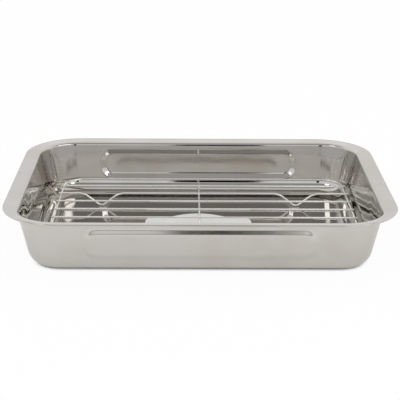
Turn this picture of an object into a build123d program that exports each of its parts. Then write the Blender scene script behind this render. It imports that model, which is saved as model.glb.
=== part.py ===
from build123d import *
import math
import os

# A roasting pan pressed from one sheet of stainless steel, with a loose wire rack on its floor.
# Lengths are in millimetres and angles in degrees. X runs along the pan, Y across it, Z up.
# The origin is the middle of the pan's underside, which stands on the worktop.

# The pan, over its rim
PAN_LENGTH = 400.0
PAN_WIDTH = 300.0
PAN_HEIGHT = 58.0
SHEET = 0.7
RIM_CORNER_RADIUS = 61.0

# The flange is a little wider at the two ends than along the sides, and rises to its edge. Its outer strip,
# the hem, follows the rim at one width and slope all round
END_FLANGE = 15.5
SIDE_FLANGE = 13.4
HEM_WIDTH = 3.5
FLANGE_RISE = 1.7
RIM_BEAD = 2.2
BEAD_PROUD = 0.15

# The drawn bowl below the flange, whose ends slope more than its sides
MOUTH_CORNER_RADIUS = 42.0
BASE_CORNER_RADIUS = 31.0
SIDE_TAPER = 9.7
END_TAPER = 13.0
BASE_RADIUS = 14.0
BEND_RADIUS = 3.0

# The stiffening panel pressed outwards in each long wall, placed from the wall's own edges
PANEL_END_CLEARANCE = 26.5
PANEL_TOP_DROP = 8.0
PANEL_FOOT_RISE = 14.4
PANEL_END_FLAT = 6.2
PANEL_STEP = 5.0
PANEL_DEPTH = 2.8
PANEL_EDGE_RADIUS = 2.5

# The rack, drawn in from the bowl's walls at the floor, and high from its feet to its long wires' tops
RACK_END_GAP = 5.2
RACK_SIDE_GAP = 0.9
RACK_HEIGHT = 16.0
FRAME_WIRE = 2.4
LONG_WIRE = 2.0
CROSS_WIRE = 2.0
WIRE_OVERHANG = 1.3
FRAME_CORNER_RADIUS = 24.0
WELD_SINK = 0.25
FLOOR_CLEARANCE = 0.3

# The eight long wires are spaced evenly between the two edge wires
EDGE_WIRE_GAP = 31.2
MIDDLE_WIRE_SHARE = 0.5
INNER_WIRE_SHARE = 1.5
LEG_WIRE_SHARE = 2.5
EDGE_WIRE_SHARE = 3.5

# The cross bar and the two V legs of each leg wire sit a little left of the frame's middle
MIDDLE_SHIFT = -5.5
LEG_INSET = 54.5
LEG_SLOPE = 38.0
LEG_FOOT_RADIUS = 6.0
LEG_SHOULDER_RADIUS = 9.0

# Where the loose rack lies, from the middle of the pan
RACK_SHIFT_X = 5.5
RACK_SHIFT_Y = 0.5

# How far a cutting tool reaches past what it cuts, and how near counts as touching
OVERRUN = 10.0
TOUCH = 0.25

# Sizes worked out from those above
RIM_Z = PAN_HEIGHT - BEAD_PROUD
MOUTH_Z = RIM_Z - FLANGE_RISE
MOUTH_LENGTH = PAN_LENGTH - 2 * END_FLANGE
MOUTH_WIDTH = PAN_WIDTH - 2 * SIDE_FLANGE
FLANGE_SLOPE = FLANGE_RISE / SIDE_FLANGE
BOWL_DEPTH = MOUTH_Z - SHEET
SIDE_ANGLE = math.radians(SIDE_TAPER)
END_ANGLE = math.radians(END_TAPER)
FLOOR_LENGTH = MOUTH_LENGTH - 2 * BOWL_DEPTH * math.tan(END_ANGLE)
FLOOR_WIDTH = MOUTH_WIDTH - 2 * BOWL_DEPTH * math.tan(SIDE_ANGLE)

PANEL_TOP_Z = MOUTH_Z - PANEL_TOP_DROP
PANEL_MIDDLE_Z = (PANEL_TOP_Z + PANEL_FOOT_RISE) / 2
PANEL_HEIGHT = (PANEL_TOP_Z - PANEL_FOOT_RISE) / math.cos(SIDE_ANGLE)
PANEL_LENGTH = MOUTH_LENGTH - 2 * (MOUTH_CORNER_RADIUS + PANEL_END_CLEARANCE)
PANEL_CORNER_RADIUS = (PANEL_HEIGHT - PANEL_END_FLAT) / 2

RACK_LENGTH = FLOOR_LENGTH - 2 * RACK_END_GAP
FRAME_LENGTH = RACK_LENGTH - 2 * WIRE_OVERHANG - FRAME_WIRE
FRAME_WIDTH = FLOOR_WIDTH - 2 * RACK_SIDE_GAP - FRAME_WIRE
EDGE_WIRE_Y = FRAME_WIDTH / 2 - EDGE_WIRE_GAP
WIRE_PITCH = EDGE_WIRE_Y / EDGE_WIRE_SHARE
LEG_PLACE = RACK_LENGTH / 2 - LEG_INSET

LONG_WIRE_Z = SHEET + FLOOR_CLEARANCE + RACK_HEIGHT - LONG_WIRE / 2
FRAME_Z = LONG_WIRE_Z - LONG_WIRE / 2 - FRAME_WIRE / 2 + WELD_SINK
CROSS_Z = LONG_WIRE_Z - LONG_WIRE / 2 - CROSS_WIRE / 2 + WELD_SINK


def outline(length, width, radius, z):
    """A rounded rectangle at a height, as a face."""
    return Pos(0, 0, z) * RectangleRounded(length, width, radius)


def bowl(inset):
    """The tapered bowl below the flange, drawn in by inset from its outer surface."""
    # The mouth sizes belong to the inner surface, so the outer one stands out by the sheet
    end_outward = (SHEET - inset) / math.cos(END_ANGLE)
    side_outward = (SHEET - inset) / math.cos(SIDE_ANGLE)
    drop = MOUTH_Z - inset
    corner_loss = (MOUTH_CORNER_RADIUS - BASE_CORNER_RADIUS) * drop / BOWL_DEPTH
    top = outline(
        MOUTH_LENGTH + 2 * end_outward,
        MOUTH_WIDTH + 2 * side_outward,
        MOUTH_CORNER_RADIUS + side_outward,
        MOUTH_Z,
    )
    bottom = outline(
        MOUTH_LENGTH - 2 * (drop * math.tan(END_ANGLE) - end_outward),
        MOUTH_WIDTH - 2 * (drop * math.tan(SIDE_ANGLE) - side_outward),
        MOUTH_CORNER_RADIUS + side_outward - corner_loss,
        inset,
    )
    return loft([bottom, top], ruled=True)


def rim_outline(outward, lift):
    """The rim's outline moved outwards, at the height that the hem's slope reaches there."""
    return outline(
        PAN_LENGTH + 2 * outward,
        PAN_WIDTH + 2 * outward,
        RIM_CORNER_RADIUS + outward,
        RIM_Z + lift + outward * FLANGE_SLOPE,
    )


def flange(inset):
    """The space above the flange's lower surface (inset 0) or above its upper one (inset SHEET)."""
    lift = inset - SHEET
    mouth = outline(MOUTH_LENGTH, MOUTH_WIDTH, MOUTH_CORNER_RADIUS, MOUTH_Z + lift)
    return loft([mouth, rim_outline(-HEM_WIDTH, lift), rim_outline(OVERRUN, lift)], ruled=True)


def panel(inset, side):
    """The pressed panel on the wall towards side (-1 front, 1 back), down from the bowl's surface."""
    drop = MOUTH_Z - PANEL_MIDDLE_Z
    surface_y = MOUTH_WIDTH / 2 - drop * math.tan(SIDE_ANGLE) + (SHEET - inset) / math.cos(SIDE_ANGLE)
    normal = Vector(0, side * math.cos(SIDE_ANGLE), -math.sin(SIDE_ANGLE))
    wall = Plane(origin=(0, side * surface_y, PANEL_MIDDLE_Z), x_dir=(side, 0, 0), z_dir=normal)
    root = wall * RectangleRounded(PANEL_LENGTH, PANEL_HEIGHT, PANEL_CORNER_RADIUS)
    crest = wall.offset(PANEL_DEPTH) * RectangleRounded(
        PANEL_LENGTH - 2 * PANEL_STEP,
        PANEL_HEIGHT - 2 * PANEL_STEP,
        PANEL_CORNER_RADIUS - PANEL_STEP,
    )
    # A plug behind the root joins the panel to the bowl and stays inside it
    plug = extrude(root, amount=-OVERRUN)
    return loft([root, crest], ruled=True), plug, wall


def edges_between(solid, low, high, half_width, half_length):
    """Edges whose middle lies between two heights and outside an inner rectangle."""
    found = []
    for edge in solid.edges():
        point = edge.center()
        if low < point.Z < high and (abs(point.X) > half_length or abs(point.Y) > half_width):
            found.append(edge)
    return found


def panel_edges(solid, wall, depth):
    """Edges that lie flat in the wall's plane at a depth, inside the panel's outline."""
    found = []
    for edge in solid.edges():
        local = wall.to_local_coords(edge.center())
        ends = [wall.to_local_coords(edge.position_at(share)) for share in (0, 1)]
        flat = all(abs(point.Z - depth) < TOUCH for point in ends + [local])
        inside = abs(local.X) <= PANEL_LENGTH / 2 + TOUCH and abs(local.Y) <= PANEL_HEIGHT / 2 + TOUCH
        if flat and inside:
            found.append(edge)
    return found


def skin(inset):
    """All that lies inside one surface of the sheet: the outer one (inset 0) or the inner one."""
    body = bowl(inset) + flange(inset)
    # The floor turns up into the wall, and the wall bends over into the flange
    floor_edges = edges_between(body, inset - OVERRUN, inset + TOUCH, 0, 0)
    body = fillet(floor_edges, BASE_RADIUS + SHEET - inset)
    bend_half_width = MOUTH_WIDTH / 2 - SIDE_FLANGE
    bend_half_length = MOUTH_LENGTH / 2 - END_FLANGE
    bend_low = MOUTH_Z - SHEET - BEND_RADIUS
    bend_edges = edges_between(body, bend_low, MOUTH_Z + TOUCH, bend_half_width, bend_half_length)
    body = fillet(bend_edges, BEND_RADIUS + inset)
    for side in (-1, 1):
        boss, plug, wall = panel(inset, side)
        body = body + boss + plug
        body = fillet(panel_edges(body, wall, PANEL_DEPTH), PANEL_EDGE_RADIUS + SHEET - inset)
        body = fillet(panel_edges(body, wall, 0), PANEL_EDGE_RADIUS + inset)
    return body


def pan():
    """The pressed pan: the sheet between its two skins, trimmed at the rim, with a rolled edge."""
    bead_radius = RIM_BEAD / 2
    edge_length = PAN_LENGTH - RIM_BEAD
    edge_width = PAN_WIDTH - RIM_BEAD
    edge_radius = RIM_CORNER_RADIUS - bead_radius
    trim = extrude(outline(edge_length, edge_width, edge_radius, -OVERRUN), amount=PAN_HEIGHT + 2 * OVERRUN)
    sheet = (skin(0) & trim) - skin(SHEET)
    path = outline(edge_length, edge_width, edge_radius, PAN_HEIGHT - bead_radius).wire()
    bead = wire_solid(path, RIM_BEAD)
    return sheet + bead


def wire_solid(path, diameter):
    """A round wire of one diameter along a path."""
    section = Plane(origin=path @ 0, z_dir=path % 0) * Circle(diameter / 2)
    return sweep(section, path=path)


def rack_frame():
    """The closed outer frame of the rack."""
    path = outline(FRAME_LENGTH, FRAME_WIDTH, FRAME_CORNER_RADIUS, FRAME_Z).wire()
    return wire_solid(path, FRAME_WIRE)


def straight_wire(y):
    """A straight long wire, lying across the frame's two ends."""
    start = Plane(origin=(-RACK_LENGTH / 2, y, LONG_WIRE_Z), z_dir=(1, 0, 0))
    return extrude(start * Circle(LONG_WIRE / 2), amount=RACK_LENGTH)


def leg_wire(y):
    """A long wire bent down to the floor in two V legs."""
    slope = math.radians(LEG_SLOPE)
    drop = RACK_HEIGHT - LONG_WIRE
    # The round foot lies above the sharp point of the V that it is drawn from
    point_below_foot = LEG_FOOT_RADIUS * (1 / math.cos(slope) - 1)
    half_span = (drop + point_below_foot) / math.tan(slope)
    foot_z = LONG_WIRE_Z - drop - point_below_foot
    points = [(-RACK_LENGTH / 2, y, LONG_WIRE_Z)]
    radii = []
    for middle in (MIDDLE_SHIFT - LEG_PLACE, MIDDLE_SHIFT + LEG_PLACE):
        points.append((middle - half_span, y, LONG_WIRE_Z))
        points.append((middle, y, foot_z))
        points.append((middle + half_span, y, LONG_WIRE_Z))
        radii += [LEG_SHOULDER_RADIUS, LEG_FOOT_RADIUS, LEG_SHOULDER_RADIUS]
    points.append((RACK_LENGTH / 2, y, LONG_WIRE_Z))
    path = FilletPolyline(*points, radius=radii)
    return wire_solid(path, LONG_WIRE)


def cross_bar():
    """The bar under the middle of the long wires, butted between the frame's two sides."""
    length = FRAME_WIDTH - FRAME_WIRE + 2 * WELD_SINK
    start = Plane(origin=(MIDDLE_SHIFT, -length / 2, CROSS_Z), z_dir=(0, 1, 0))
    return extrude(start * Circle(CROSS_WIRE / 2), amount=length)


def rack_pieces():
    """Every piece of the rack by name, in the rack's own place."""
    pieces = {"rack_frame": rack_frame(), "cross_bar": cross_bar()}
    for side, sign in (("front", -1), ("back", 1)):
        pieces[f"{side}_edge_wire"] = straight_wire(sign * EDGE_WIRE_Y)
        pieces[f"{side}_leg_wire"] = leg_wire(sign * LEG_WIRE_SHARE * WIRE_PITCH)
        pieces[f"{side}_inner_wire"] = straight_wire(sign * INNER_WIRE_SHARE * WIRE_PITCH)
        pieces[f"{side}_middle_wire"] = straight_wire(sign * MIDDLE_WIRE_SHARE * WIRE_PITCH)
    return pieces


def main():
    os.makedirs("parts", exist_ok=True)
    parts = {"pan": pan()}
    for name, piece in rack_pieces().items():
        parts[name] = Pos(RACK_SHIFT_X, RACK_SHIFT_Y, 0) * piece
    for name, piece in parts.items():
        export_step(piece, f"parts/{name}.step")
        print(name, round(piece.volume, 1))


main()
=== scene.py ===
# %% [markdown]
# A roasting pan pressed from one sheet of bright stainless steel, with a loose chrome-plated wire rack
# and a paper label lying on its floor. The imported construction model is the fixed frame: it says where
# everything is and how big it is. This script gives each piece its finished surface and its light.

import math

import bmesh
import bpy
import numpy as np
from mathutils import Matrix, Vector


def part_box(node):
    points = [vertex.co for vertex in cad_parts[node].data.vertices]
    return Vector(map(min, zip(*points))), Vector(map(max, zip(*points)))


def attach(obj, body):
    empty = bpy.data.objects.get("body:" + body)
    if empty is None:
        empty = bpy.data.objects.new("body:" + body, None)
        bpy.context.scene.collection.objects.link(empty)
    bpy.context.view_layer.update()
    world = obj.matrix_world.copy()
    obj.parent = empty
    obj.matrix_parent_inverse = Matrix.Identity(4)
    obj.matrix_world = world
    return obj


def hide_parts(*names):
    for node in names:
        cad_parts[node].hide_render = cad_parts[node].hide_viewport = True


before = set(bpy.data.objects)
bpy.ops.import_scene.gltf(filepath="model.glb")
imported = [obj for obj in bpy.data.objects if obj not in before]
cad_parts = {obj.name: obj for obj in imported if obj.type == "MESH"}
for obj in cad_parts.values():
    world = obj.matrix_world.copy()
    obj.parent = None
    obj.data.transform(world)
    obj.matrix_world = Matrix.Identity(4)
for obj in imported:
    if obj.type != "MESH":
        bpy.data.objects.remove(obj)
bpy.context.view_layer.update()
MM = 0.001
pan_low, pan_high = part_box("pan")
print("pan", [round((high - low) / MM, 1) for low, high in zip(pan_low, pan_high)], "mm")

# %% [markdown]
# The photograph fixes the camera. It could be aimed by eye and nudged until the picture looks right. Here
# its place and angles were fitted to the pan's rim, mouth and base, so they are real distances and angles.
# The focal length is in dots of the square picture.

# %% Camera
PICTURE_WIDTH = 400
FOCAL_LENGTH = 1168.5
SENSOR_WIDTH = 36.0
CAMERA_PLACE = (-13.75 * MM, -1206.01 * MM, 451.62 * MM)
CAMERA_YAW = math.radians(0.68)
CAMERA_PITCH = math.radians(19.20)
CAMERA_ROLL = math.radians(0.42)


def camera_axes(yaw, pitch, roll):
    """The camera's right and up directions, and the one that points back, away from what it sees."""
    forward = np.array([math.sin(yaw) * math.cos(pitch), math.cos(yaw) * math.cos(pitch), -math.sin(pitch)])
    level_right = np.array([math.cos(yaw), -math.sin(yaw), 0.0])
    level_up = np.cross(level_right, forward)
    right = math.cos(roll) * level_right + math.sin(roll) * level_up
    up = -math.sin(roll) * level_right + math.cos(roll) * level_up
    return right, up, -forward


def stand_at(place, axes):
    """The matrix that puts a camera or a lamp at a place and turns it to three axes."""
    return Matrix.Translation(place) @ Matrix(axes).transposed().to_4x4()


def add_camera():
    """The camera of the photograph."""
    data = bpy.data.cameras.new("photo_camera")
    data.sensor_width = SENSOR_WIDTH
    data.lens = SENSOR_WIDTH * FOCAL_LENGTH / PICTURE_WIDTH
    camera = bpy.data.objects.new("photo_camera", data)
    bpy.context.collection.objects.link(camera)
    camera.matrix_world = stand_at(CAMERA_PLACE, camera_axes(CAMERA_YAW, CAMERA_PITCH, CAMERA_ROLL))
    bpy.context.scene.camera = camera
    return camera


camera = add_camera()
print("lens", round(camera.data.lens, 1), "mm")

# %% [markdown]
# Every finish is a small network of shader nodes. One function turns a hex colour as it is written for a
# screen into the linear numbers that a renderer works in, and one adds a node with its settings and links,
# so each material reads as a list of what is on the surface. The last two make the fine marks that every
# surface has, and end a material.

# %% Helpers for finishes
WHITE = "#FFFFFF"


def linear(hex_colour):
    """An sRGB hex colour as a linear colour with alpha."""
    values = [int(hex_colour[place:place + 2], 16) / 255 for place in (1, 3, 5)]
    straight = [v / 12.92 if v <= 0.04045 else ((v + 0.055) / 1.055) ** 2.4 for v in values]
    return (*straight, 1.0)


def add_node(tree, kind, inputs=None, **settings):
    """One node, with its settings, and its inputs given as values or as sockets to link from."""
    node = tree.nodes.new(kind)
    for name, value in settings.items():
        setattr(node, name, value)
    for name, value in (inputs or {}).items():
        socket = node.inputs[name]
        if isinstance(value, bpy.types.NodeSocket):
            tree.links.new(value, socket)
        else:
            socket.default_value = value
    return node


def new_material(name):
    """An empty material and its node tree."""
    material = bpy.data.materials.new(name)
    material.use_nodes = True
    material.node_tree.nodes.clear()
    return material, material.node_tree


def fine_marks(tree, place, size, detail, depth, strength):
    """Fine marks of a real size in a surface: their pattern, and the bump that they make."""
    marks = add_node(tree, "ShaderNodeTexNoise", {"Vector": place, "Scale": 1 / size, "Detail": detail})
    pattern = marks.outputs["Fac"]
    bump = add_node(tree, "ShaderNodeBump", {"Height": pattern, "Distance": depth, "Strength": strength})
    return pattern, bump.outputs["Normal"]


def end_material(material, inputs):
    """End a material with one surface that has the given inputs."""
    tree = material.node_tree
    shader = add_node(tree, "ShaderNodeBsdfPrincipled", inputs)
    add_node(tree, "ShaderNodeOutputMaterial", {"Surface": shader.outputs[0]})
    print(material.name, "nodes", len(tree.nodes))
    return material


print("white is", [round(part, 2) for part in linear(WHITE)])

# %% [markdown]
# Pressing leaves the sheet faintly wavy all over. The short walls, where the sheet is squeezed narrower as
# it is drawn down, pucker into ripples one or two centimetres apart, most of all towards the front corners,
# and these break up what the walls reflect. They are a few tenths of a millimetre deep, which would take
# very many faces in the mesh, so a bump in the material makes them.

# %% Ripples of the short walls
RIPPLE_SIZE = 15 * MM
RIPPLE_STRETCH = 2.2
RIPPLE_DEPTH = 1.0 * MM
# Where they begin and are full: away from the pan's middle, up from its floor, and from front to back
RIPPLE_START = 118 * MM
RIPPLE_FULL = 168 * MM
RIPPLE_FOOT = 6 * MM
RIPPLE_TOP = 20 * MM
RIPPLE_FRONT = -70 * MM
RIPPLE_BACK = 50 * MM
RIPPLE_BACK_SHARE = 0.12


def ripple_height(tree, place):
    """Long ripples in the two short walls, strongest near the front corners."""
    where = add_node(tree, "ShaderNodeSeparateXYZ", {0: place}).outputs
    from_middle = add_node(tree, "ShaderNodeMath", {0: where["X"]}, operation="ABSOLUTE").outputs[0]
    longer = add_node(tree, "ShaderNodeMapping", {"Vector": place, "Scale": (1, 1 / RIPPLE_STRETCH, 1)})
    height = add_node(
        tree, "ShaderNodeTexNoise",
        {"Vector": longer.outputs["Vector"], "Scale": 1 / RIPPLE_SIZE, "Detail": 0.0},
    ).outputs["Fac"]
    for measure, start, end, at_start, at_end in (
        (from_middle, RIPPLE_START, RIPPLE_FULL, 0.0, 1.0),
        (where["Z"], RIPPLE_FOOT, RIPPLE_TOP, 0.0, 1.0),
        (where["Y"], RIPPLE_FRONT, RIPPLE_BACK, 1.0, RIPPLE_BACK_SHARE),
    ):
        share = add_node(
            tree, "ShaderNodeMapRange",
            {"Value": measure, "From Min": start, "From Max": end, "To Min": at_start, "To Max": at_end},
            interpolation_type="SMOOTHSTEP",
        ).outputs["Result"]
        height = add_node(tree, "ShaderNodeMath", {0: height, 1: share}, operation="MULTIPLY").outputs[0]
    return height


print("ripples", round(RIPPLE_SIZE / MM), "mm by", round(RIPPLE_SIZE * RIPPLE_STRETCH / MM), "mm")

# %% [markdown]
# Stainless steel sheet, 18/8, bright-annealed. The inside of the pan is buffed to a mirror and the outside
# is left with a soft satin grain. It is one sheet, so it has one material, and the mesh carries an attribute
# that says which side a point is on. Steel mirrors its surroundings a little warm, because it takes more
# blue than red out of them. The satin grain is really some hundredths of a millimetre across, and is drawn
# at half a millimetre so that it shows. The floor is hardly stretched by the press, so it keeps the sheet's
# first polish, and the drawn walls are a little duller, with duller patches.

# %% Bright stainless steel
STEEL_CLEAR = "#D0CDC9"
STEEL_DULL = "#CBC7C0"
PATCH_SIZE = 60 * MM
PATCH_START = 0.4
PATCH_FULL = 0.65
WAVE_SIZE = 50 * MM
WAVE_DEPTH = 0.15 * MM
GRAIN_SIZE = 0.5 * MM
GRAIN_STRETCH = 60
GRAIN_DEPTH = 0.02 * MM
GRAIN_STRENGTH = 0.5
FLOOR_ROUGHNESS = 0.03
MIRROR_ROUGHNESS = 0.065
MIRROR_DULLEST = 0.095
SATIN_ROUGHNESS = 0.12
SATIN_DULLEST = 0.18
# The heights between which the sheet goes over from the floor's polish to the walls'
DRAWN_FROM = 2 * MM
DRAWN_FULLY = 15 * MM


def steel_roughness(tree, place, patch, satin):
    """How rough each point is: polished floor, duller walls, and the satin side."""
    wall, outside = (
        add_node(tree, "ShaderNodeMapRange", {"Value": patch, "To Min": least, "To Max": most}).outputs[0]
        for least, most in ((MIRROR_ROUGHNESS, MIRROR_DULLEST), (SATIN_ROUGHNESS, SATIN_DULLEST))
    )
    height = add_node(tree, "ShaderNodeSeparateXYZ", {0: place}).outputs["Z"]
    inside = add_node(
        tree, "ShaderNodeMapRange",
        {"Value": height, "From Min": DRAWN_FROM, "From Max": DRAWN_FULLY, "To Min": FLOOR_ROUGHNESS,
         "To Max": wall},
    ).outputs["Result"]
    return add_node(
        tree, "ShaderNodeMix", {"Factor": satin, "A": inside, "B": outside}, data_type="FLOAT",
    ).outputs["Result"]


def steel_relief(tree, place, satin):
    """The sheet's unevenness, one bump on another: waves, ripples and the grain of the satin side."""
    wavy = fine_marks(tree, place, WAVE_SIZE, 1.0, WAVE_DEPTH, 1.0)[1]
    puckered = add_node(
        tree, "ShaderNodeBump",
        {"Height": ripple_height(tree, place), "Distance": RIPPLE_DEPTH, "Strength": 1.0, "Normal": wavy},
    )
    stretched = add_node(tree, "ShaderNodeMapping", {"Vector": place, "Scale": (1 / GRAIN_STRETCH, 1, 1)})
    lines = add_node(
        tree, "ShaderNodeTexNoise",
        {"Vector": stretched.outputs["Vector"], "Scale": 1 / GRAIN_SIZE, "Detail": 2.0},
    )
    grain = add_node(tree, "ShaderNodeMath", {0: lines.outputs["Fac"], 1: satin}, operation="MULTIPLY")
    return add_node(
        tree, "ShaderNodeBump",
        {"Height": grain.outputs[0], "Distance": GRAIN_DEPTH, "Strength": GRAIN_STRENGTH,
         "Normal": puckered.outputs["Normal"]},
    ).outputs["Normal"]


def bright_steel():
    """Stainless steel sheet with a mirror side and a satin side."""
    material, tree = new_material("bright_stainless_steel")
    place = add_node(tree, "ShaderNodeTexCoord").outputs["Object"]
    satin = add_node(tree, "ShaderNodeAttribute", attribute_name="satin_side").outputs["Fac"]
    patches = add_node(tree, "ShaderNodeTexNoise", {"Vector": place, "Scale": 1 / PATCH_SIZE, "Detail": 3.0})
    patch = add_node(
        tree, "ShaderNodeMapRange",
        {"Value": patches.outputs["Fac"], "From Min": PATCH_START, "From Max": PATCH_FULL},
        interpolation_type="SMOOTHSTEP",
    ).outputs["Result"]
    tint = add_node(
        tree, "ShaderNodeMix", {"Factor": patch, "A": linear(STEEL_CLEAR), "B": linear(STEEL_DULL)},
        data_type="RGBA",
    )
    return end_material(material, {
        "Base Color": tint.outputs["Result"], "Metallic": 1.0,
        "Roughness": steel_roughness(tree, place, patch, satin), "Normal": steel_relief(tree, place, satin),
    })


steel = bright_steel()

# %% [markdown]
# Chrome-plated mild steel wire. The plating is a thin layer that follows the drawn wire under it. It is
# paler and cooler than the sheet but not as smooth, so what it mirrors is soft, with faint drawing marks
# about a millimetre apart. An even roughness would do from afar, but close up it looks like plastic.

# %% Chrome-plated wire
CHROME = "#F6F5F2"
MARK_SIZE = 1.2 * MM
MARK_DEPTH = 0.05 * MM
MARK_STRENGTH = 0.3
PLATE_ROUGHNESS = 0.18
PLATE_DULLEST = 0.30


def chrome_wire():
    """Bright plated wire."""
    material, tree = new_material("chrome_plated_wire")
    place = add_node(tree, "ShaderNodeTexCoord").outputs["Object"]
    marks, relief = fine_marks(tree, place, MARK_SIZE, 2.0, MARK_DEPTH, MARK_STRENGTH)
    roughness = add_node(
        tree, "ShaderNodeMapRange", {"Value": marks, "To Min": PLATE_ROUGHNESS, "To Max": PLATE_DULLEST},
    )
    return end_material(material, {
        "Base Color": linear(CHROME), "Metallic": 1.0, "Roughness": roughness.outputs["Result"],
        "Normal": relief,
    })


chrome = chrome_wire()

# %% [markdown]
# Label paper, coated and calendered, so it is white with a slight sheen. Its fibres make a fine
# unevenness that is really a tenth of a millimetre across and is drawn three times as coarse so that it
# shows. Without it the paper would look like plastic.

# %% Coated paper
PAPER_SHADE = "#E0E1DD"
PAPER_LIGHT = "#E8E9E5"
PAPER_ROUGHNESS = 0.45
PAPER_IOR = 1.5
FIBRE_SIZE = 0.3 * MM
FIBRE_DEPTH = 0.03 * MM
FIBRE_STRENGTH = 0.3


def coated_paper():
    """White coated label paper."""
    material, tree = new_material("coated_label_paper")
    place = add_node(tree, "ShaderNodeTexCoord").outputs["Object"]
    fibres, relief = fine_marks(tree, place, FIBRE_SIZE, 3.0, FIBRE_DEPTH, FIBRE_STRENGTH)
    tint = add_node(
        tree, "ShaderNodeMix", {"Factor": fibres, "A": linear(PAPER_SHADE), "B": linear(PAPER_LIGHT)},
        data_type="RGBA",
    )
    return end_material(material, {
        "Base Color": tint.outputs["Result"], "Roughness": PAPER_ROUGHNESS, "IOR": PAPER_IOR,
        "Normal": relief,
    })


paper = coated_paper()

# %% [markdown]
# The pan is one sheet drawn by a press, so its shape follows a rule: rings round the pan, each a rounded
# rectangle, climb from the floor up the base curve, the tapered wall and the bend to the flange, round
# the rolled edge, and back down the outside. A box could be bevelled and smoothed instead, but a mirror
# shows every uneven bevel. So the rings are set out in code, close together where the sheet bends.

# %% The pressing's sizes
SHEET = 0.7 * MM
END_FLANGE = 15.5 * MM
SIDE_FLANGE = 13.4 * MM
FLANGE_RISE = 1.7 * MM
# The flange ends in a rolled edge, and just inside it the sheet is pressed flat into a hem
ROLL_RADIUS = 1.1 * MM
ROLL_PROUD = 0.15 * MM
HEM_WIDTH = 3.5 * MM
RIM_CORNER = 61.0 * MM
MOUTH_CORNER = 42.0 * MM
BASE_CORNER = 31.0 * MM
BASE_RADIUS = 14.0 * MM
BEND_RADIUS = 3.0 * MM
SIDE_TAPER = math.radians(9.7)
END_TAPER = math.radians(13.0)

RIM_HALF_LENGTH = (pan_high[0] - pan_low[0]) / 2
RIM_HALF_WIDTH = (pan_high[1] - pan_low[1]) / 2
RIM_Z = pan_high[2] - ROLL_PROUD
MOUTH_Z = RIM_Z - FLANGE_RISE
MOUTH_HALF_LENGTH = RIM_HALF_LENGTH - END_FLANGE
MOUTH_HALF_WIDTH = RIM_HALF_WIDTH - SIDE_FLANGE
print("mouth", round(2 * MOUTH_HALF_LENGTH / MM), "mm by", round(2 * MOUTH_HALF_WIDTH / MM), "mm")

# %% [markdown]
# A ring is given by four numbers: its half length, half width, corner radius and height. One curve swept
# round the pan wouldn't do, because the corners open out towards the rim and the ends slope more than the
# sides. Moving all four numbers together along a line or round an arc takes care of both.

# %% Rings of the walls and the flange


def wall_ring(z, inward):
    """A ring on the bowl's walls at a height, drawn in from the inner side of the sheet."""
    drop = MOUTH_Z - z
    corner_loss = (MOUTH_CORNER - BASE_CORNER) * drop / (MOUTH_Z - SHEET)
    return np.array([
        MOUTH_HALF_LENGTH - drop * math.tan(END_TAPER) - inward,
        MOUTH_HALF_WIDTH - drop * math.tan(SIDE_TAPER) - inward,
        MOUTH_CORNER - corner_loss - inward,
        z,
    ])


def rim_ring(inward, lift):
    """A ring of the hem, the flange's outer strip, drawn in from the rim."""
    z = RIM_Z + lift - inward * FLANGE_RISE / SIDE_FLANGE
    return np.array([RIM_HALF_LENGTH - inward, RIM_HALF_WIDTH - inward, RIM_CORNER - inward, z])


def flange_ring(share, lift):
    """A ring of the flange, a share of the way from the mouth to the hem."""
    mouth = np.array([MOUTH_HALF_LENGTH, MOUTH_HALF_WIDTH, MOUTH_CORNER, MOUTH_Z + lift])
    return mouth + share * (rim_ring(HEM_WIDTH, lift) - mouth)


print("corner at the floor", round(wall_ring(SHEET, 0)[2] / MM), "mm")

# %% [markdown]
# Runs of the profile are joined by round bends, as the press makes them. A bend is a curve whose middle is
# pulled towards the corner by the cosine of half the turn, which gives a true arc of a circle. Both sides
# of the sheet are made this way, with radii that differ by its thickness.

# %% Profile of one side of the sheet
FLOOR_RINGS = 4
BASE_RINGS = 10
WALL_RINGS = 46
BEND_RINGS = 7
FLANGE_RINGS = 5


def between(start, end, count):
    """Rings or places on a straight run, without the last one."""
    return [start + (end - start) * step / count for step in range(count)]


def bend_between(start, corner, end, turn, count):
    """Rings round a circular bend that touches two runs, without its last one."""
    weight = math.cos(turn / 2)
    rings = []
    for step in range(count):
        share = step / count
        parts = ((1 - share) ** 2, 2 * weight * share * (1 - share), share ** 2)
        rings.append(sum(part * ring for part, ring in zip(parts, (start, corner, end))) / sum(parts))
    return rings


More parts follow.
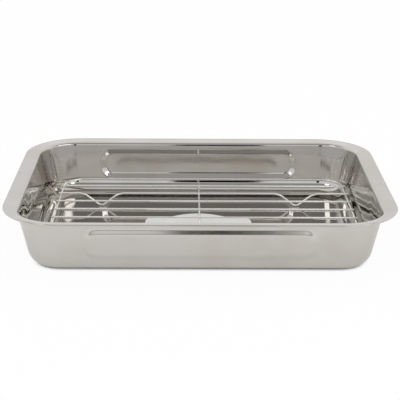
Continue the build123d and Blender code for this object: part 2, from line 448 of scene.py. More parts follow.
def skin_rings(depth):
    """Rings from the floor to the flange, on the inner side (depth 0) or the outer side (SHEET)."""
    outward = depth / math.cos(SIDE_TAPER)
    base_turn = math.pi / 2 - SIDE_TAPER
    floor_z = SHEET - depth
    reach = (BASE_RADIUS + depth) * math.tan(base_turn / 2)
    corner = wall_ring(floor_z, -outward)
    floor_edge = wall_ring(floor_z, reach - outward)
    floor_middle = wall_ring(floor_z, corner[2] - outward)
    wall_foot = wall_ring(floor_z + reach * math.cos(SIDE_TAPER), -outward)
    # The bend over into the flange
    bend_turn = math.pi / 2 - SIDE_TAPER - FLANGE_RISE / SIDE_FLANGE
    bend_reach = (BEND_RADIUS + SHEET - depth) * math.tan(bend_turn / 2)
    wall_top = wall_ring(MOUTH_Z - depth - bend_reach * math.cos(SIDE_TAPER), -outward)
    bend_corner = wall_ring(MOUTH_Z - depth, -outward)
    flange_start = flange_ring((bend_reach + outward) / (SIDE_FLANGE - HEM_WIDTH), -depth)
    hem_start = flange_ring(1, -depth)
    hem_end = rim_ring(2 * ROLL_RADIUS, -depth)
    return (
        between(floor_middle, floor_edge, FLOOR_RINGS)
        + bend_between(floor_edge, corner, wall_foot, base_turn, BASE_RINGS)
        + between(wall_foot, wall_top, WALL_RINGS)
        + bend_between(wall_top, bend_corner, flange_start, bend_turn, BEND_RINGS)
        + between(flange_start, hem_start, FLANGE_RINGS)
        + [hem_start, hem_end]
    )


print("rings on each side", len(skin_rings(0)))

# %% [markdown]
# The rim is curled under into a roll, which is stiff and cuts nobody. A torus could be joined on, but its
# seam would show in the polish, so the roll is part of the same profile: its rings start where the hem's
# upper side ends and go round to the lower side.

# %% The rolled edge
ROLL_RINGS = 16
ROLL_START = math.radians(132)
ROLL_END = math.radians(-176)


def roll_rings():
    """Rings round the rolled edge, from the flange's upper side over to its lower side."""
    centre_z = pan_high[2] - ROLL_RADIUS
    rings = []
    for step in range(ROLL_RINGS + 1):
        angle = ROLL_START + (ROLL_END - ROLL_START) * step / ROLL_RINGS
        outset = ROLL_RADIUS * (math.cos(angle) - 1)
        rings.append(np.array([
            RIM_HALF_LENGTH + outset, RIM_HALF_WIDTH + outset, RIM_CORNER + outset,
            centre_z + ROLL_RADIUS * math.sin(angle),
        ]))
    return rings


profile = skin_rings(0) + roll_rings() + skin_rings(SHEET)[::-1]
print("rings", len(profile))

# %% [markdown]
# The stiffening panel in each long wall is pressed into it after drawing. It sits below the mouth and clear
# of the round corners, so most of its sizes follow from the pressing.

# %% Sizes of the panels
PANEL_TOP_DROP = 8.0 * MM
PANEL_FOOT_Z = 14.4 * MM
PANEL_END_CLEARANCE = 26.5 * MM
PANEL_END_FLAT = 6.2 * MM
PANEL_STEP = 5.0 * MM
PANEL_EASE = 1.3 * MM
PANEL_DEPTH = 2.8 * MM
PANEL_TOP_Z = MOUTH_Z - PANEL_TOP_DROP
PANEL_MIDDLE = (PANEL_TOP_Z + PANEL_FOOT_Z) / 2
PANEL_HEIGHT = (PANEL_TOP_Z - PANEL_FOOT_Z) / math.cos(SIDE_TAPER)
PANEL_LENGTH = 2 * (MOUTH_HALF_LENGTH - MOUTH_CORNER - PANEL_END_CLEARANCE)
PANEL_CORNER = (PANEL_HEIGHT - PANEL_END_FLAT) / 2
print("panel", round(PANEL_LENGTH / MM, 1), "mm by", round(PANEL_HEIGHT / MM, 1), "mm")

# %% [markdown]
# Each ring is sampled at the same stations: along the front, round a corner, along an end, and so on, so
# that neighbouring rings can be joined point to point. Even spacing would be simpler, but the stations need
# to be close together only at the ends of the panels, where the surface turns fastest.

# %% Stations round a ring
PANEL_END_ZONE = 26 * MM
PANEL_END_MARGIN = 3 * MM
STATIONS_BESIDE = 6
STATIONS_AT_END = 24
STATIONS_ALONG = 40
END_STATIONS = 22
CORNER_STATIONS = 20


def side_stations(half):
    """Places along a long side, finer at both ends of the panel."""
    outer = PANEL_LENGTH / 2 + PANEL_END_MARGIN
    inner = outer - PANEL_END_ZONE
    stops = (-half, -outer, -inner, inner, outer, half)
    counts = (STATIONS_BESIDE, STATIONS_AT_END, STATIONS_ALONG, STATIONS_AT_END, STATIONS_BESIDE)
    places = []
    for start, end, count in zip(stops, stops[1:], counts):
        places += between(start, end, count)
    return places


straight_half = MOUTH_HALF_LENGTH - MOUTH_CORNER
side_shares = np.array(side_stations(straight_half)) / straight_half
end_shares = np.array(between(-1, 1, END_STATIONS))


def ring_points(ring):
    """Points of a ring, anticlockwise from the left of its front side."""
    half_length, half_width, radius, z = ring
    core_x = half_length - radius
    core_y = half_width - radius
    points = []
    sides = (
        (side_shares, (core_x, 0), (0, -half_width), (core_x, -core_y), -90),
        (end_shares, (0, core_y), (half_length, 0), (core_x, core_y), 0),
        (side_shares, (-core_x, 0), (0, half_width), (-core_x, core_y), 90),
        (end_shares, (0, -core_y), (-half_length, 0), (-core_x, -core_y), 180),
    )
    for shares, along, middle, corner, start in sides:
        points += [(middle[0] + along[0] * share, middle[1] + along[1] * share, z) for share in shares]
        for step in range(CORNER_STATIONS):
            angle = math.radians(start + 90 * step / CORNER_STATIONS)
            points.append((corner[0] + radius * math.cos(angle), corner[1] + radius * math.sin(angle), z))
    return points


grid = np.array([ring_points(ring) for ring in profile])
print("rings x stations", grid.shape[:2])

# %% [markdown]
# A panel is a step in the sheet: the further inside the panel's outline a point lies, the further it is
# pushed out, until it reaches the full depth. A cut-out panel set into the wall would leave a seam, and
# the real one has none. Both sides of the sheet move together, so the sheet keeps its thickness.

# %% Press the panels
# Only the long walls below the bend into the flange are pressed
WALL_REACH = 14 * MM
BEND_KEPT = 5 * MM


def depth_inside(x, along_wall):
    """How far inside the panel's rounded outline a point lies."""
    over_x = np.abs(x) - (PANEL_LENGTH / 2 - PANEL_CORNER)
    over_y = np.abs(along_wall) - (PANEL_HEIGHT / 2 - PANEL_CORNER)
    outside = np.hypot(np.maximum(over_x, 0), np.maximum(over_y, 0))
    inside = np.minimum(np.maximum(over_x, over_y), 0)
    return PANEL_CORNER - outside - inside


def press_panels(grid):
    """Push the panels out of the two long walls."""
    for side in (-1, 1):
        on_wall = side * grid[:, :, 1] > MOUTH_HALF_WIDTH - WALL_REACH
        below_bend = grid[:, :, 2] < MOUTH_Z - BEND_KEPT
        along_wall = (grid[:, :, 2] - PANEL_MIDDLE) / math.cos(SIDE_TAPER)
        inside = depth_inside(grid[:, :, 0], along_wall)
        share = np.clip((inside + PANEL_EASE) / (PANEL_STEP + 2 * PANEL_EASE), 0, 1)
        push = PANEL_DEPTH * share * share * (3 - 2 * share) * (on_wall & below_bend)
        grid[:, :, 1] += side * math.cos(SIDE_TAPER) * push
        grid[:, :, 2] -= math.sin(SIDE_TAPER) * push
    return grid


grid = press_panels(grid)
print("pushed out to", round(float(grid[:, :, 1].max()) / MM, 1), "mm from the middle")

# %% [markdown]
# The grid of points is now joined into quads. Neighbouring rings make a tube that starts on the inner
# floor and ends on the outer one. One large face could close each floor, but a face with hundreds of sides
# shades badly in a mirror. The innermost ring is a plain rectangle, so a grid of quads fills it.

# %% Faces of the pan


def tube_faces(rings, stations):
    """Quads between neighbouring rings."""
    faces = []
    for low in range(0, (rings - 1) * stations, stations):
        for station in range(stations):
            beside = (station + 1) % stations
            faces.append((low + station, low + beside, low + stations + beside, low + stations + station))
    return faces


def straight_sides(base):
    """The points of a ring's straight sides, from left to right or from front to back."""
    sides = []
    for shares, way in ((side_shares, 1), (end_shares, 1), (side_shares, -1), (end_shares, -1)):
        sides.append(list(range(base, base + len(shares) + 1))[::way])
        base += len(shares) + CORNER_STATIONS
    return sides


def floor_faces(verts, base, flip):
    """Quads over one floor, from the first point of its innermost ring. Its inner points join verts."""
    front, right, back, left = straight_sides(base)
    rows = [front]
    for left_point, right_point in zip(left[1:-1], right[1:-1]):
        row = [left_point]
        for point in front[1:-1]:
            verts.append((verts[point][0], verts[right_point][1], verts[base][2]))
            row.append(len(verts) - 1)
        rows.append(row + [right_point])
    rows.append(back)
    faces = []
    for near, far in zip(rows, rows[1:]):
        for column in range(len(front) - 1):
            face = (near[column], near[column + 1], far[column + 1], far[column])
            faces.append(face[::-1] if flip else face)
    return faces


def pan_mesh(grid):
    """The closed mesh of the sheet."""
    rings, stations = grid.shape[:2]
    verts = [tuple(point) for point in grid.reshape(-1, 3)]
    faces = tube_faces(rings, stations)
    faces += floor_faces(verts, 0, False)
    faces += floor_faces(verts, (rings - 1) * stations, True)
    mesh = bpy.data.meshes.new("pan_pressing")
    mesh.from_pydata(verts, [], faces)
    return mesh


pressing = pan_mesh(grid)
print("points", len(pressing.vertices), "faces", len(pressing.polygons))

# %% [markdown]
# Every piece is finished alike: doubled points merged, faces turned outwards, smooth shading with only the
# true edges sharp, one material, and a ride on the body that carries it. The printed count of open edges
# shows at once whether a mesh is really closed.

# %% Helpers for finished pieces
MERGE_DISTANCE = 0.002 * MM
METAL_SHARP_ANGLE = math.radians(50)
CUBIC_CM = 1e-6


def tidy_mesh(mesh, sharp_angle):
    """Merge doubled points, turn the faces outwards and shade smoothly but for sharp edges."""
    shape = bmesh.new()
    shape.from_mesh(mesh)
    bmesh.ops.remove_doubles(shape, verts=shape.verts, dist=MERGE_DISTANCE)
    bmesh.ops.recalc_face_normals(shape, faces=shape.faces)
    open_edges = sum(not edge.is_manifold for edge in shape.edges)
    volume = round(shape.calc_volume(signed=True) / CUBIC_CM, 1)
    shape.to_mesh(mesh)
    shape.free()
    mesh.shade_smooth()
    mesh.set_sharp_from_angle(angle=sharp_angle)
    print(mesh.name, "faces", len(mesh.polygons), "open edges", open_edges, "cm3", volume)


def add_piece(name, mesh, material, body, nodes=()):
    """A finished piece that rides on a body and stands for some construction nodes."""
    piece = bpy.data.objects.new(name, mesh)
    bpy.context.collection.objects.link(piece)
    mesh.materials.clear()
    mesh.materials.append(material)
    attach(piece, body)
    if nodes:
        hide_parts(*nodes)
    return piece


# %% [markdown]
# The pan gets its satin attribute before it is tidied, while its points are still in the order of the
# rings. The finish changes halfway round the rolled edge.

# %% The finished pan


def mark_satin_side(mesh, grid, inner_rings):
    """Say for each point of the rings whether it is on the outer, satin side of the sheet."""
    rings, stations = grid.shape[:2]
    shares = np.zeros(len(mesh.vertices))
    shares[inner_rings * stations:rings * stations] = 1.0
    mesh.attributes.new("satin_side", "FLOAT", "POINT").data.foreach_set("value", shares)


mark_satin_side(pressing, grid, len(skin_rings(0)) + ROLL_RINGS // 2)
tidy_mesh(pressing, METAL_SHARP_ANGLE)
pan = add_piece("pan_pressing", pressing, steel, "pan", ["pan"])

# %% [markdown]
# The rack's wires and weld beads are made by Geometry Nodes. Each tree takes a path or some points and named
# sizes, and ends in Realize Instances and Set Material. Two functions start and end a tree, and a third puts
# a tree on an object, reads off the result as a plain mesh and removes the object again.

# %% Helpers for Geometry Nodes


def start_tree(name, inputs):
    """A tree with a geometry input, some named inputs and a geometry output, and its given values."""
    tree = bpy.data.node_groups.new(name, "GeometryNodeTree")
    face = tree.interface
    face.new_socket("Geometry", in_out="INPUT", socket_type="NodeSocketGeometry")
    for label, kind in inputs.items():
        face.new_socket(label, in_out="INPUT", socket_type=f"NodeSocket{kind}")
    face.new_socket("Geometry", in_out="OUTPUT", socket_type="NodeSocketGeometry")
    return tree, add_node(tree, "NodeGroupInput").outputs


def end_tree(tree, geometry, finish):
    """Make a tree's geometry real, give it its material and send it out."""
    real = add_node(tree, "GeometryNodeRealizeInstances", {"Geometry": geometry})
    finished = add_node(
        tree, "GeometryNodeSetMaterial", {"Geometry": real.outputs["Geometry"], "Material": finish},
    )
    add_node(tree, "NodeGroupOutput", {"Geometry": finished.outputs["Geometry"]})


def made_by(tree, holder, values):
    """The plain mesh that a tree makes on a holder, whose inputs are set by their sockets' identifiers."""
    bpy.context.collection.objects.link(holder)
    modifier = holder.modifiers.new(tree.name, "NODES")
    modifier.node_group = tree
    for socket in tree.interface.items_tree:
        if socket.name in values:
            modifier[socket.identifier] = values[socket.name]
    ready = holder.evaluated_get(bpy.context.evaluated_depsgraph_get())
    mesh = bpy.data.meshes.new_from_object(ready)
    bpy.data.objects.remove(holder)
    return mesh


# %% [markdown]
# The rack is ten wires. Each is a path with a round section, which is what Curve to Mesh does, and Fillet
# Curve bends the path with a radius at each corner, as a wire bender does. Bent pipes could be modelled one
# by one, but one tree makes them all: it reads a wire's corner points and takes the diameter and the bend
# radii as inputs. A leg wire needs two radii, one at its feet and one at its shoulders.

# %% The wire-bending tree


def wire_tree():
    """A tree that bends a path of straight runs and gives it a round section."""
    tree, given = start_tree("bent_wire", {
        "Wire diameter": "Float", "High bend radius": "Float", "Low bend radius": "Float",
        "Low below": "Float", "Steps in a bend": "Int", "Sides": "Int", "Finish": "Material",
    })
    place = add_node(tree, "GeometryNodeInputPosition").outputs[0]
    height = add_node(tree, "ShaderNodeSeparateXYZ", {0: place}).outputs["Z"]
    is_low = add_node(
        tree, "FunctionNodeCompare", {"A": height, "B": given["Low below"]},
        data_type="FLOAT", operation="LESS_THAN",
    )
    radius = add_node(
        tree, "GeometryNodeSwitch",
        {"Switch": is_low.outputs[0], "False": given["High bend radius"], "True": given["Low bend radius"]},
        input_type="FLOAT",
    )
    bent = add_node(
        tree, "GeometryNodeFilletCurve",
        {"Curve": given["Geometry"], "Count": given["Steps in a bend"], "Radius": radius.outputs[0],
         "Limit Radius": True},
        mode="POLY",
    )
    half = add_node(tree, "ShaderNodeMath", {0: given["Wire diameter"], 1: 0.5}, operation="MULTIPLY")
    section = add_node(
        tree, "GeometryNodeCurvePrimitiveCircle", {"Resolution": given["Sides"], "Radius": half.outputs[0]},
    )
    wire = add_node(
        tree, "GeometryNodeCurveToMesh",
        {"Curve": bent.outputs["Curve"], "Profile Curve": section.outputs["Curve"], "Fill Caps": True},
    )
    end_tree(tree, wire.outputs["Mesh"], given["Finish"])
    return tree


bent_wire = wire_tree()
print(bent_wire.name, "nodes", len(bent_wire.nodes))

# %% [markdown]
# A wire starts as a curve of straight runs through its corner points. The shears leave its two ends flat
# with a slight burr, which plating rounds, so the cut edges get a small bevel.

# %% One wire
END_EASE = 0.35 * MM
END_EASE_STEPS = 3
BEND_STEPS = 10
WIRE_SIDES = 24


def path_curve(name, points, closed):
    """A curve object of straight runs through the points."""
    curve = bpy.data.curves.new(name, "CURVE")
    curve.dimensions = "3D"
    spline = curve.splines.new("POLY")
    spline.points.add(len(points) - 1)
    for point, place in zip(spline.points, points):
        point.co = (*place, 1.0)
    spline.use_cyclic_u = closed
    return bpy.data.objects.new(name, curve)


def ease_ends(mesh):
    """Round off the cut edges at a wire's two ends."""
    shape = bmesh.new()
    shape.from_mesh(mesh)
    bmesh.ops.remove_doubles(shape, verts=shape.verts, dist=MERGE_DISTANCE)
    cut_edges = {edge for face in shape.faces if len(face.verts) > 4 for edge in face.edges}
    bmesh.ops.bevel(
        shape, geom=list(cut_edges), offset=END_EASE, segments=END_EASE_STEPS, profile=0.5, affect="EDGES",
    )
    shape.to_mesh(mesh)
    shape.free()


def make_wire(name, points, diameter, high_radius=0.0, low_radius=0.0, low_below=-1.0, closed=False):
    """A plain mesh of one bent wire, made by the tree."""
    mesh = made_by(bent_wire, path_curve(f"{name}_path", points, closed), {
        "Wire diameter": diameter, "High bend radius": high_radius, "Low bend radius": low_radius,
        "Low below": low_below, "Steps in a bend": BEND_STEPS, "Sides": WIRE_SIDES, "Finish": chrome,
    })
    mesh.name = name
    if not closed:
        ease_ends(mesh)
    tidy_mesh(mesh, METAL_SHARP_ANGLE)
    return mesh


# %% [markdown]
# Where a wire runs is read from its box in the frame, so that it lies on the construction's wire. A
# straight wire needs two points and the frame its corners. A leg wire runs level, dips down to a foot in a
# V and comes up again, twice. Its shoulders are rounder than in the solids, as the photograph shows.

# %% Corner points of the wires
LONG_WIRE = 2.0 * MM
LEG_FOOT_RADIUS = 6.0 * MM
LEG_SHOULDER_RADIUS = 20.0 * MM
LEG_SLOPE = math.radians(38)
LEG_PLACE = 112.0 * MM
LEG_SHIFT = -5.5 * MM
FRAME_CORNER = 24.0 * MM


def straight_points(node):
    """The two ends of a straight wire, from its construction box."""
    low, high = (np.array(corner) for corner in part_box(node))
    middle = (low + high) / 2
    along = int(np.argmax(high - low))
    first, last = middle.copy(), middle.copy()
    first[along], last[along] = low[along], high[along]
    return [tuple(first), tuple(last)]


def leg_points(node):
    """Corner points of a leg wire: level, down to a foot and up again, twice."""
    low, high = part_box(node)
    y = (low[1] + high[1]) / 2
    top = high[2] - LONG_WIRE / 2
    drop = high[2] - low[2] - LONG_WIRE
    below_foot = LEG_FOOT_RADIUS * (1 / math.cos(LEG_SLOPE) - 1)
    half_span = (drop + below_foot) / math.tan(LEG_SLOPE)
    middle = (low[0] + high[0]) / 2 + LEG_SHIFT
    points = [(low[0], y, top)]
    for foot in (middle - LEG_PLACE, middle + LEG_PLACE):
        points += [(foot - half_span, y, top), (foot, y, top - drop - below_foot), (foot + half_span, y, top)]
    return points + [(high[0], y, top)]


def frame_points(node):
    """Corners of the frame's centre line and its diameter, from its box."""
    low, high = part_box(node)
    half = (high[2] - low[2]) / 2
    z = (low[2] + high[2]) / 2
    left, right, front, back = low[0] + half, high[0] - half, low[1] + half, high[1] - half
    middle = (left + right) / 2
    corners = [(middle, front, z), (right, front, z), (right, back, z), (left, back, z), (left, front, z)]
    return corners, 2 * half


print("leg wire", [round(place[0] / MM) for place in leg_points("back_leg_wire")], "mm")

# %% [markdown]
# Now the ten wires are bent. Each long wire has its own name, so each stays a piece of its own. The frame is
# a closed path that starts in the middle of a side, so that its seam isn't in a corner.

# %% Bend the wires
rack_meshes = {}
for side in ("front", "back"):
    for place in ("edge", "inner", "middle"):
        node = f"{side}_{place}_wire"
        rack_meshes[node] = make_wire(node, straight_points(node), LONG_WIRE)
    node = f"{side}_leg_wire"
    rack_meshes[node] = make_wire(
        node, leg_points(node), LONG_WIRE, LEG_SHOULDER_RADIUS, LEG_FOOT_RADIUS, SHEET + LONG_WIRE,
    )
rack_meshes["cross_bar"] = make_wire("cross_bar", straight_points("cross_bar"), LONG_WIRE)
corners, frame_diameter = frame_points("rack_frame")
rack_meshes["rack_frame"] = make_wire("rack_frame", corners, frame_diameter, FRAME_CORNER, closed=True)
for node, mesh in rack_meshes.items():
    wire = add_piece(f"{node}_bright", mesh, chrome, "rack", [node])

# %% [markdown]
# Where two wires cross they are pressed together and welded by a current. The metal squeezed out sets as a
# small bead in the angle between them. The beads could be copied by hand, but there are twenty-six, so a
# second tree puts one on each crossing, each a little different in size, with a fixed seed.

# %% The weld bead tree
BEAD_SEGMENTS = 16
BEAD_RINGS = 10
SMALLEST_BEAD = 0.88
LARGEST_BEAD = 1.08


def weld_tree():
    """A tree that puts a flattened bead on every point."""
    tree, given = start_tree("weld_beads", {
        "Bead half size": "Float", "Flatness share": "Float", "Seed": "Int", "Finish": "Material",
    })
    bead = add_node(
        tree, "GeometryNodeMeshUVSphere",
        {"Segments": BEAD_SEGMENTS, "Rings": BEAD_RINGS, "Radius": given["Bead half size"]},
    )
    uneven = add_node(
        tree, "FunctionNodeRandomValue", {2: SMALLEST_BEAD, 3: LARGEST_BEAD, "Seed": given["Seed"]},
        data_type="FLOAT",
    ).outputs[1]
    flat = add_node(tree, "ShaderNodeMath", {0: uneven, 1: given["Flatness share"]}, operation="MULTIPLY")
    size = add_node(tree, "ShaderNodeCombineXYZ", {"X": uneven, "Y": uneven, "Z": flat.outputs[0]})
    placed = add_node(
        tree, "GeometryNodeInstanceOnPoints",
        {"Points": given["Geometry"], "Instance": bead.outputs["Mesh"], "Scale": size.outputs[0]},
    )
    end_tree(tree, placed.outputs["Instances"], given["Finish"])
    return tree


welding = weld_tree()
print(welding.name, "nodes", len(welding.nodes))

# %% [markdown]
# The crossings are worked out from the boxes of the wires that meet there. All the beads become one mesh,
# because they are alike and all ride on the rack.

# %% Weld beads
BEAD_HALF_SIZE = 1.25 * MM
BEAD_FLATNESS_SHARE = 0.6
BEAD_SEED = 3


def weld_places():
    """Where the long wires cross the frame's ends and the cross bar, and where the bar meets the frame."""
    frame_low, frame_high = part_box("rack_frame")
    bar_low, bar_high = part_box("cross_bar")
    half_frame = (frame_high[2] - frame_low[2]) / 2
    bar_x = (bar_low[0] + bar_high[0]) / 2
    bar_z = (bar_low[2] + bar_high[2]) / 2
    places = [(bar_x, frame_low[1] + 2 * half_frame, bar_z), (bar_x, frame_high[1] - 2 * half_frame, bar_z)]
    for side in ("front", "back"):
        for place in ("edge", "leg", "inner", "middle"):
            low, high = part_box(f"{side}_{place}_wire")
            y = (low[1] + high[1]) / 2
            for x in (frame_low[0] + half_frame, bar_x, frame_high[0] - half_frame):
                places.append((x, y, high[2] - LONG_WIRE))
    return places


def weld_mesh():
    """A plain mesh of all the weld beads."""
    points = bpy.data.meshes.new("weld_points")
    points.from_pydata(weld_places(), [], [])
    mesh = made_by(welding, bpy.data.objects.new("weld_points", points), {
        "Bead half size": BEAD_HALF_SIZE, "Flatness share": BEAD_FLATNESS_SHARE, "Seed": BEAD_SEED,
        "Finish": chrome,
    })
    mesh.name = "weld_beads"
    tidy_mesh(mesh, METAL_SHARP_ANGLE)
    return mesh


weld_beads = add_piece("weld_beads_bright", weld_mesh(), chrome, "rack")
print("weld beads", len(weld_places()))

# %% [markdown]
# The label is a piece of paper with round corners and an arch on its long edges. It lies loose on the
# floor of the pan, under the rack, and it is bare. A flat face with a Solidify modifier would do as well.
# Here its outline is drawn with arcs and given the paper's true thickness in one step.

# %% Paper label
LABEL_HALF_LENGTH = 59 * MM
LABEL_HALF_WIDTH = 28 * MM
LABEL_CORNER_LENGTH = 7 * MM
LABEL_CORNER_WIDTH = 14 * MM
LABEL_CORNER_STEPS = 8
ARCH_HALF_LENGTH = 34 * MM
ARCH_HEIGHT = 14 * MM
ARCH_STEPS = 32
PAPER_THICKNESS = 0.12 * MM
PAPER_LIFT = 0.02 * MM
PAPER_SHARP_ANGLE = math.radians(30)
LABEL_MIDDLE = (-1 * MM, 0.0)


def label_corner(side):
    """A round corner of the label's upper edge, on its right (1) or left (-1) side."""
    points = []
    for step in range(LABEL_CORNER_STEPS + 1):
        angle = math.radians(45 - 45 * side + 90 * step / LABEL_CORNER_STEPS)
        points.append((
            side * LABEL_HALF_LENGTH + LABEL_CORNER_LENGTH * (math.cos(angle) - side),
            LABEL_HALF_WIDTH + LABEL_CORNER_WIDTH * (math.sin(angle) - 1),
        ))
    return points


def label_edge():
    """Half of the label's outline, from its right end over the arch to its left end."""
    arch = []
    for step in range(1, ARCH_STEPS):
        share = 1 - 2 * step / ARCH_STEPS
        arch.append((ARCH_HALF_LENGTH * share, LABEL_HALF_WIDTH + ARCH_HEIGHT * (1 - share * share)))
    return label_corner(1) + arch + label_corner(-1)


def label_mesh():
    """The label as a thin closed sheet on the pan's floor."""
    edge = label_edge()
    outline = edge + [(-x, -y) for x, y in edge]
    count = len(outline)
    verts = []
    for z in (SHEET + PAPER_LIFT, SHEET + PAPER_LIFT + PAPER_THICKNESS):
        verts += [(x + LABEL_MIDDLE[0], y + LABEL_MIDDLE[1], z) for x, y in outline]
    faces = [tuple(range(count))[::-1], tuple(range(count, 2 * count))]
    for place in range(count):
        beside = (place + 1) % count
        faces.append((place, beside, count + beside, count + place))
    mesh = bpy.data.meshes.new("paper_label")
    mesh.from_pydata(verts, [], faces)
    tidy_mesh(mesh, PAPER_SHARP_ANGLE)
    return mesh


add_piece("paper_label", label_mesh(), paper, "pan")

# %% [markdown]
# The pan stands on a white painted table. A plain white plane would come out grey, and more light on it
# would burn out the steel. So the paint is mixed with a white that needs no light: almost all of what the
# camera sees, a third of what mirrors see, and none of what lights the pan. An Ambient Occlusion node finds
# where hardly any light gets in under the pan's edge, and there only the paint with its shadow is left.

# %% White table
TABLE_PAINT = "#F4F4F2"
TABLE_HALF = 6.0
TABLE_SHINE_SHARE = 0.95
TABLE_SHINE_IN_MIRRORS = 0.35
CONTACT_REACH = 12 * MM
CONTACT_SHUT = 0.07
CONTACT_OPEN = 0.32
CONTACT_SAMPLES = 8


def stage_card(name, corner, across, up, material):
    """A flat card that belongs to the studio, from one corner and its two edges."""
    first, right, left = np.array(corner), np.array(corner) + across, np.array(corner) + up
    mesh = bpy.data.meshes.new(name)
    mesh.from_pydata([first, right, right + up, left], [], [(0, 1, 2, 3)])
    card = bpy.data.objects.new(name, mesh)
    bpy.context.collection.objects.link(card)
    mesh.materials.append(material)
    return card


def rays_that_see(tree):
    """Whether a ray comes from the camera, and whether it is any that sees: camera, mirror or glass ray."""
    rays = add_node(tree, "ShaderNodeLightPath").outputs
    seen = rays["Is Camera Ray"]
    for kind in ("Is Glossy Ray", "Is Transmission Ray"):
        seen = add_node(tree, "ShaderNodeMath", {0: seen, 1: rays[kind]}, operation="MAXIMUM").outputs[0]
    return rays["Is Camera Ray"], seen


def white_table():
    """White painted table top that keeps shadows."""
    material, tree = new_material("white_table_top")
    camera_ray, seen = rays_that_see(tree)
    paint = add_node(tree, "ShaderNodeBsdfDiffuse", {"Color": linear(TABLE_PAINT)})
    glow = add_node(tree, "ShaderNodeEmission", {"Color": linear(WHITE), "Strength": 1.0})
    shine = 0.0
    for ray, share in ((camera_ray, TABLE_SHINE_SHARE), (seen, TABLE_SHINE_IN_MIRRORS)):
        part = add_node(tree, "ShaderNodeMath", {0: ray, 1: share}, operation="MULTIPLY").outputs[0]
        shine = add_node(tree, "ShaderNodeMath", {0: shine, 1: part}, operation="MAXIMUM").outputs[0]
    openness = add_node(
        tree, "ShaderNodeAmbientOcclusion", {"Distance": CONTACT_REACH}, samples=CONTACT_SAMPLES,
    )
    clear = add_node(
        tree, "ShaderNodeMapRange",
        {"Value": openness.outputs["AO"], "From Min": CONTACT_SHUT, "From Max": CONTACT_OPEN},
        interpolation_type="SMOOTHSTEP",
    ).outputs["Result"]
    white = add_node(tree, "ShaderNodeMath", {0: shine, 1: clear}, operation="MULTIPLY").outputs[0]
    mixed = add_node(tree, "ShaderNodeMixShader", {0: white, 1: paint.outputs[0], 2: glow.outputs[0]})
    add_node(tree, "ShaderNodeOutputMaterial", {"Surface": mixed.outputs[0]})
    return material


table = stage_card(
    "table_top", (-TABLE_HALF, -TABLE_HALF, 0), (2 * TABLE_HALF, 0, 0), (0, 2 * TABLE_HALF, 0), white_table(),
)
print(table.name, "is", round(table.dimensions.x, 2), "m wide")

# %% [markdown]
# Polished steel shows whatever stands behind the lens. In the photograph a dark streak runs along the upper
# step of the front panel, as the camera and dark cloth behind it would make. A dark card, which only mirrors
# see, takes their place.

# %% Dark figure behind the lens
FIGURE_CLOTH = "#141312"
FIGURE_HALF_WIDTH = 0.104
FIGURE_MIDDLE = 0.062
FIGURE_BEHIND = 0.02
FIGURE_FOOT = 0.15
FIGURE_TOP = 0.70


def dark_figure():
    """An upright dark card just behind the camera."""
    material, tree = new_material("black_cloth")
    shader = add_node(tree, "ShaderNodeBsdfDiffuse", {"Color": linear(FIGURE_CLOTH)})
    add_node(tree, "ShaderNodeOutputMaterial", {"Surface": shader.outputs[0]})
    corner = (FIGURE_MIDDLE - FIGURE_HALF_WIDTH, CAMERA_PLACE[1] - FIGURE_BEHIND, FIGURE_FOOT)
    card = stage_card(
        "dark_figure", corner, (2 * FIGURE_HALF_WIDTH, 0, 0), (0, 0, FIGURE_TOP - FIGURE_FOOT), material,
    )
    card.visible_camera = False
    return card


figure = dark_figure()
print(figure.name, "is", round(figure.dimensions.x, 2), "m wide")

# %% [markdown]
# Two soft lamps stand left and right of the camera, aimed at the pan. They are weak, because the white room
# gives most of the light. They are there for their mirror images, the white blocks on the pan's floor.

# %% Lamps
LAMP_SIDE = 0.81
LAMP_FRONT = -0.81
LAMP_Z = 0.96
SOFTBOX_HEIGHT = 0.35
# Name, place beside the middle, width in metres and power in watts
SOFTBOXES = (("left_softbox", -LAMP_SIDE, 0.45, 0.9), ("right_softbox", LAMP_SIDE, 1.1, 2.2))


def add_lamp(name, x, width, power):
    """A rectangular soft lamp aimed at the middle of the pan."""
    data = bpy.data.lights.new(name, "AREA")
    data.shape = "RECTANGLE"
    data.size = width
    data.size_y = SOFTBOX_HEIGHT
    data.energy = power
    lamp = bpy.data.objects.new(name, data)
    bpy.context.collection.objects.link(lamp)
    place = np.array([x, LAMP_FRONT, LAMP_Z])
    back = place / np.linalg.norm(place)
    right = np.cross((0, 0, 1), back)
    right /= np.linalg.norm(right)
    lamp.matrix_world = stand_at(place, (right, np.cross(back, right), back))
    print(name, "radiance", round(power / (width * SOFTBOX_HEIGHT * math.pi), 2))


for softbox in SOFTBOXES:
    add_lamp(*softbox)

# %% [markdown]
# The room is the world's background, a brightness for each height above the horizon, with one list for
# each side. Beyond the pan it is a white backdrop. Behind the camera it is grey at the horizon, where the
# rear wall looks, pale from 12 to 30 degrees, and dark from 36 to 42 degrees. The floor sees that dark band
# by way of the rear wall, which makes the dark gaps between the front wires. A picture of a real room would
# do too, but a few stops can be reasoned about. The camera itself sees white, and the pan is lit evenly.

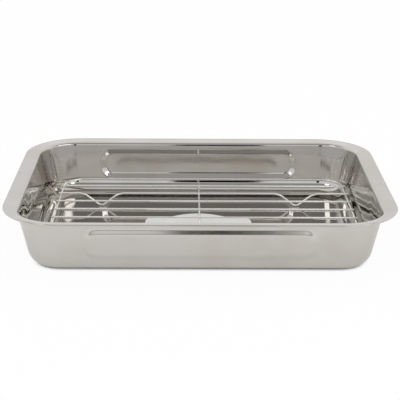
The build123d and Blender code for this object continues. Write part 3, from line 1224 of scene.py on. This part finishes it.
# %% Room
# Stops of height in degrees and brightness
BACKDROP_STOPS = ((0, 0.85), (20, 0.85), (30, 1.0), (45, 0.9), (90, 0.9))
CAMERA_SIDE_STOPS = (
    (0, 0.52), (5, 0.52), (12, 0.85), (30, 0.85), (36, 0.28), (42, 0.28), (48, 0.5), (55, 0.42), (78, 0.42),
    (90, 0.7),
)
SIDES_MEET = 0.15
LIGHT_FROM_ROOM = 0.9


def grey(brightness):
    """A linear grey with alpha."""
    return (brightness, brightness, brightness, 1.0)


def brightness_by_height(tree, rise, stops):
    """Brightness of one side of the room, by the sine of the height above the horizon."""
    ramp = add_node(tree, "ShaderNodeValToRGB", {"Fac": rise})
    elements = ramp.color_ramp.elements
    elements[0].color = grey(stops[0][1])
    elements[1].color = grey(stops[-1][1])
    for height, brightness in stops[1:-1]:
        elements.new(math.sin(math.radians(height))).color = grey(brightness)
    return ramp.outputs["Color"]


def white_room():
    """A white room with a backdrop beyond the pan and a banded side behind the camera."""
    world = bpy.data.worlds.new("white_room")
    world.use_nodes = True
    tree = world.node_tree
    tree.nodes.clear()
    camera_ray, seen = rays_that_see(tree)
    direction = add_node(tree, "ShaderNodeTexCoord").outputs["Generated"]
    way = add_node(tree, "ShaderNodeSeparateXYZ", {0: direction}).outputs
    beyond = add_node(
        tree, "ShaderNodeMapRange", {"Value": way["Y"], "From Min": -SIDES_MEET, "From Max": SIDES_MEET},
        interpolation_type="SMOOTHSTEP",
    )
    room = add_node(
        tree, "ShaderNodeMix",
        {"Factor": beyond.outputs["Result"],
         "A": brightness_by_height(tree, way["Z"], CAMERA_SIDE_STOPS),
         "B": brightness_by_height(tree, way["Z"], BACKDROP_STOPS)},
        data_type="RGBA",
    )
    lit = add_node(
        tree, "ShaderNodeMix", {"Factor": seen, "A": grey(LIGHT_FROM_ROOM), "B": room.outputs["Result"]},
        data_type="RGBA",
    )
    colour = add_node(
        tree, "ShaderNodeMix", {"Factor": camera_ray, "A": lit.outputs["Result"], "B": linear(WHITE)},
        data_type="RGBA",
    )
    light = add_node(tree, "ShaderNodeBackground", {"Color": colour.outputs["Result"], "Strength": 1.0})
    add_node(tree, "ShaderNodeOutputWorld", {"Surface": light.outputs[0]})
    bpy.context.scene.world = world
    return world


room = white_room()
bpy.context.scene.view_settings.view_transform = "Standard"
print(room.name, "nodes", len(room.node_tree.nodes))
